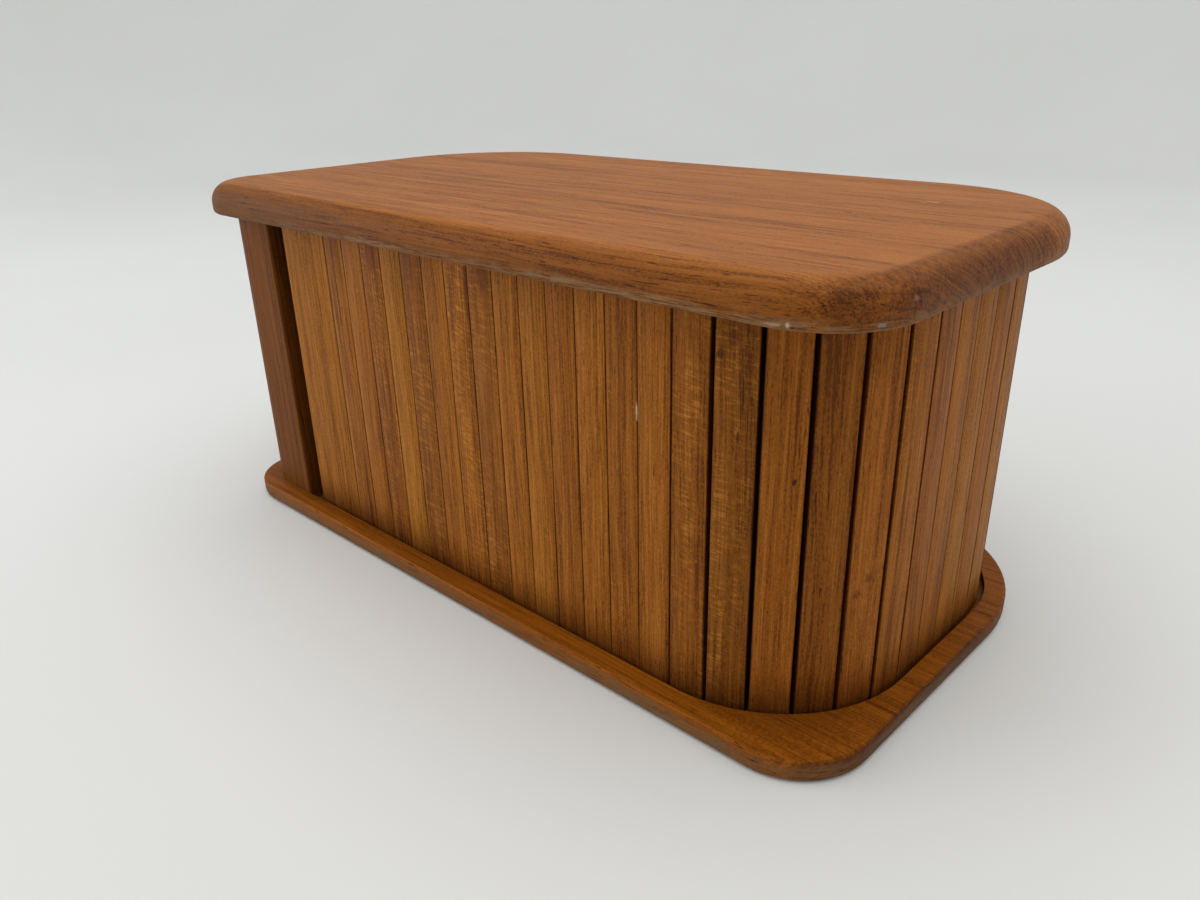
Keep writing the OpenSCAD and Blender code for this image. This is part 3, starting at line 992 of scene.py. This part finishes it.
@dataclass
class Shutter:
    """The lead slat, the equal slats behind it and the cloth that joins them.

    Attributes:
        track: the line of the cloth.
        lead_run: how far the shutter stands open at rest.
        lead_width: the lead slat's width with its seam, and pitch a plain slat's.
        seam: the gap between two slats on the straight.
        foot: the height of the slats' lower ends, and head that of their upper ends.
        cloth_foot: the height of the cloth's lower edge, and cloth_head of its upper edge.
        cloth_short: how far a strip stops short of its end pins.
    """

    track: Track = Track()
    lead_run: float = 6.7 * MM
    lead_width: float = 31.3 * MM
    pitch: float = 12 * MM
    thick: float = 4.5 * MM
    seam: float = 0.2 * MM
    soft_edge: float = 0.2 * MM
    lead_round: float = 2 * MM
    foot: float = 4.3 * MM
    head: float = 131.8 * MM
    cloth_thick: float = 0.5 * MM
    cloth_foot: float = 11.5 * MM
    cloth_head: float = 123.5 * MM
    cloth_short: float = 0.45 * MM
    slats: dict[str, Piece] = field(default_factory=dict)
    strips: list[Piece] = field(default_factory=list)

    def __post_init__(self) -> None:
        """Finds where every slat begins along the track."""
        self.runs: list[float] = [self.lead_run + self.lead_width]
        for _ in SLATS:
            self.runs.append(self.track.after(self.runs[-1], self.pitch))

    def _blank(self, name: str, width: float, left_round: float) -> Piece:
        """Models a slat at the origin: its back on the cloth's line, its outer edges rounded.

        Args:
            name: the blank's name.
            width: its width with its seam.
            left_round: the radius of its left outer edge.

        Returns:
            The blank, with the place of each point written for the grain.
        """
        side = self.seam / 2
        low = Vector((side, -self.thick, self.foot))
        high = Vector((width - side, 0, self.head))
        blank = Bench.block(name, low, high)

        def upright_at(x: float) -> Callable[[list[Vector]], bool]:
            """Tells the outer upright edge at a place across the slat."""
            return lambda ends: all(
                abs(end.x - x) < CLOSE and abs(end.y + self.thick) < CLOSE for end in ends
            )

        steps = ROUND_STEPS if left_round > self.soft_edge else SOFT_STEPS
        Bench.round_over(blank, upright_at(side), left_round, steps)
        Bench.round_over(blank, upright_at(width - side), self.soft_edge, SOFT_STEPS)
        grain = [Vector((point.co.z, point.co.x, point.co.y)) for point in blank.data.vertices]
        Bench.write(blank, "grain_place", grain)
        return blank

    def _place(self, slat: Piece, run: float, ahead: float) -> None:
        """Turns a blank to the chord between two pins and settles it there.

        Args:
            slat: the blank.
            run: its first pin's distance along the track.
            ahead: its second pin's.
        """
        start, end = self.track.at(run), self.track.at(ahead)
        turn = Matrix.Rotation(math.atan2(end.y - start.y, end.x - start.x), 4, "Z")
        slat.matrix_world = Matrix.Translation(start) @ turn
        Bench.settle(slat)

    def _mark(self, slat: Piece, shade: Shade, figure: Figure, seed: float, width: float) -> None:
        """Writes a slat's own wood to its mesh.

        Args:
            slat: the slat.
            shade: how light and how red it is.
            figure: what its face shows.
            seed: sets its pattern apart from its neighbours'.
            width: its width, for the dirt along its seams.
        """
        ripple, streaks = figure.value
        count = len(slat.data.vertices)
        Bench.write(slat, "slat_figure", [Vector((*shade.value, ripple))] * count)
        Bench.write(slat, "slat_marks", [Vector((streaks, seed, width))] * count)

    def build_slats(self) -> None:
        """Models the lead slat and one plain slat, and copies that one along the track."""
        lead = self._blank("lead_slat_wood", self.lead_width, self.lead_round)
        self._place(lead, self.lead_run, self.lead_run + self.lead_width)
        self._mark(lead, GOLDEN, PLAIN, 3.0, self.lead_width)
        self.slats["lead_slat"] = lead
        blank = self._blank("slat_blank", self.pitch, self.soft_edge)
        for n, (shade, figure) in enumerate(SLATS, 1):
            slat = Bench.copy(blank, f"slat_wood_{n:02d}")
            self._place(slat, self.runs[n - 1], self.runs[n])
            self._mark(slat, shade, figure, 5.0 + 2.7 * n, self.pitch)
            self.slats[f"slat_{n:02d}"] = slat
        bpy.data.objects.remove(blank)
        for node, slat in self.slats.items():
            Bench.smooth(slat)
            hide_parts(node)
            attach(slat, self._body(node))
            LOG.info("%s modelled for %s", slat.name, node)

    @staticmethod
    def _body(node: str) -> str:
        """Finds the body that a node rides on."""
        bodies = frame["record"]["behaviour"]["bodies"]
        return next(name for name, nodes in bodies.items() if node in nodes)

    def build_cloth(self) -> None:
        """Models the cloth behind each rigid stretch of slats."""
        for body, nodes in frame["record"]["behaviour"]["bodies"].items():
            cloth = [node for node in nodes if node.startswith("cloth")]
            if not cloth:
                continue
            numbers = [int(node[-2:]) for node in nodes if node.startswith("slat")]
            runs = self.runs[numbers[0] - 1 : numbers[-1] + 1]
            if "lead_slat" in nodes:
                runs = [self.lead_run] + runs
            pins = [self.track.at(run) for run in runs]
            strip = self._strip(f"{cloth[0]}_weave", pins)
            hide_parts(cloth[0])
            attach(strip, body)
            self.strips.append(strip)
            LOG.info("%s modelled for %s", strip.name, cloth[0])

    def _strip(self, name: str, pins: list[Vector]) -> Piece:
        """Models one stretch of cloth along its pins.

        Args:
            name: the strip's name.
            pins: the points that it passes, from its first to its last.

        Returns:
            The strip.
        """
        pins = [pin.copy() for pin in pins]
        first = (pins[1] - pins[0]).normalized()
        last = (pins[-1] - pins[-2]).normalized()
        pins[0] += first * self.cloth_short
        pins[-1] -= last * self.cloth_short
        Bench.clear()
        bpy.ops.mesh.primitive_plane_add(size=1)
        strip = bpy.context.object
        strip.name = strip.data.name = name
        turn = Quaternion((1, 0, 0), math.pi / 2).to_matrix().to_4x4()
        middle = (self.cloth_foot + self.cloth_head) / 2
        high = self.cloth_head - self.cloth_foot
        step = pins[1] - pins[0]
        lean = Matrix.Rotation(math.atan2(step.y, step.x), 4, "Z")
        size = Matrix.Diagonal((step.length, high, 1, 1))
        centre = (pins[0] + pins[1]) / 2 + Vector((0, 0, middle))
        strip.matrix_world = Matrix.Translation(centre) @ lean @ turn @ size
        Bench.settle(strip)
        for start, end in zip(pins[1:], pins[2:]):
            Bench.pick(
                strip, "EDGE", lambda ends: all((e.xy - start.xy).length < CLOSE for e in ends)
            )
            bpy.ops.mesh.extrude_region_move(TRANSFORM_OT_translate={"value": end - start})
        bpy.ops.object.mode_set(mode="OBJECT")
        flat = (high, self._unroll(strip, pins))
        wall = strip.modifiers.new("thickness", "SOLIDIFY")
        wall.thickness, wall.offset = self.cloth_thick, -1
        wall.use_even_offset = True
        Bench.hold(strip)
        bpy.ops.object.modifier_apply(modifier=wall.name)
        return strip

    @staticmethod
    def _unroll(strip: Piece, pins: list[Vector]) -> float:
        """Writes how far along the cloth each point of a strip lies, for its weave.

        Args:
            strip: the strip, still without its thickness.
            pins: the points that it passes.

        Returns:
            The strip's flat length.
        """
        along = [0.0]
        for start, end in zip(pins, pins[1:]):
            along.append(along[-1] + (end - start).length)
        weave = []
        for point in strip.data.vertices:
            nearest = min(range(len(pins)), key=lambda i: (point.co.xy - pins[i].xy).length)
            weave.append(Vector((along[nearest], point.co.z, 0)))
        Bench.write(strip, "weave_place", weave)
        return along[-1]

    def dress(self) -> None:
        """Gives the slats their teak and the strips their cloth."""
        teak, cloth = SlatFinish().make(), ClothFinish().make()
        for slat in self.slats.values():
            slat.data.materials.append(teak)
        for strip in self.strips:
            strip.data.materials.append(cloth)


# ------------------------------------------------------------
# The room: floor, light and camera


@dataclass(frozen=True)
class Lamp:
    """A round soft lamp: where it hangs, what it lights, how wide and how strong it is."""

    name: str
    place: Triple
    target: Triple
    size: float
    power: float


@dataclass
class Studio:
    """A pale paper sweep under soft lamps, seen from the box's front right corner."""

    floor_radius: float = 2.2
    floor_rise: float = 1.6
    sweep_bend: float = 0.9
    bend_steps: int = 14
    paper: str = "#dcdddb"
    paper_cloud: str = "#dfe0df"
    lamps: tuple[Lamp, ...] = (
        Lamp("overhead", (0.2, -0.1, 1.5), (0.05, 0, 0.05), size=2.2, power=13.0),
        Lamp("window", (-1.3, -0.9, 0.5), (0, 0, 0.05), size=1.2, power=6.0),
    )
    sky: Colour = (0.93, 0.93, 0.92, 1.0)
    sky_strength: float = 0.75
    camera_at: Triple = (0.24846, -0.25898, 0.18648)
    camera_turn: tuple[float, float, float, float] = (0.780816, 0.503571, 0.209835, 0.304487)
    lens: float = 28.2586
    sensor: float = 36.0
    nearest: float = 10 * MM
    shift: tuple[float, float] = (-0.00367, 0.01178)

    def build_sweep(self) -> None:
        """Models the round floor and its turned-up wall, and dresses them as paper."""
        Bench.clear()
        bpy.ops.mesh.primitive_cylinder_add(
            vertices=96, radius=self.floor_radius, depth=self.floor_rise,
            location=(0, 0, self.floor_rise / 2),
        )
        sweep = bpy.context.object
        sweep.name = sweep.data.name = "paper_sweep"
        Bench.settle(sweep)
        rise = self.floor_rise
        Bench.pick(sweep, "FACE", lambda corners: all(c.z > rise - CLOSE for c in corners))
        bpy.ops.mesh.delete(type="ONLY_FACE")
        bpy.ops.object.mode_set(mode="OBJECT")
        Bench.round_over(
            sweep, lambda ends: all(e.z < CLOSE for e in ends), self.sweep_bend, self.bend_steps
        )
        Bench.pick(sweep, "FACE", lambda corners: True)
        bpy.ops.mesh.flip_normals()
        bpy.ops.object.mode_set(mode="OBJECT")
        Bench.smooth(sweep, 60)
        material, g = start_material("paper")
        place = g.node("ShaderNodeTexCoord", {}).outputs["Object"]
        cloudy = g.noise(place, (3, 3, 3), 1.0, 2)
        colour = g.mix(g.ease(cloudy, 0.3, 0.7), tint(self.paper), tint(self.paper_cloud))
        g.surface({"Base Color": colour, "Roughness": 0.8})
        sweep.data.materials.append(material)

    def build_light(self) -> None:
        """Hangs the lamps and sets the sky."""
        world = bpy.data.worlds.new("sky")
        bpy.context.scene.world = world
        world.use_nodes = True
        background = world.node_tree.nodes["Background"]
        background.inputs["Color"].default_value = self.sky
        background.inputs["Strength"].default_value = self.sky_strength
        for lamp in self.lamps:
            data = bpy.data.lights.new(lamp.name, "AREA")
            data.shape, data.size, data.energy = "DISK", lamp.size, lamp.power
            hung = bpy.data.objects.new(lamp.name, data)
            hung.location = lamp.place
            aim = Vector(lamp.target) - Vector(lamp.place)
            hung.rotation_mode = "QUATERNION"
            hung.rotation_quaternion = aim.to_track_quat("-Z", "Y")
            bpy.context.scene.collection.objects.link(hung)

    def build_camera(self) -> None:
        """Sets up the camera as the photograph was taken."""
        data = bpy.data.cameras.new("camera")
        data.lens, data.sensor_width, data.sensor_fit = self.lens, self.sensor, "HORIZONTAL"
        data.shift_x, data.shift_y = self.shift
        data.clip_start = self.nearest
        camera = bpy.data.objects.new("camera", data)
        camera.location = self.camera_at
        camera.rotation_mode = "QUATERNION"
        camera.rotation_quaternion = Quaternion(self.camera_turn)
        bpy.context.scene.collection.objects.link(camera)
        bpy.context.scene.camera = camera
        bpy.context.scene.view_settings.view_transform = "Standard"


def main() -> None:
    """Builds the box's looks in order and reports each piece."""
    logging.basicConfig(level=logging.INFO, format="%(name)s: %(message)s")
    for build in (build_teak_figure, build_rim_wear_and_sheen, build_end_rings, build_mark):
        build()
    Carcass().dress()
    shutter = Shutter()
    shutter.build_slats()
    shutter.build_cloth()
    shutter.dress()
    studio = Studio()
    studio.build_sweep()
    studio.build_light()
    studio.build_camera()


if __name__ == "__main__":
    main()
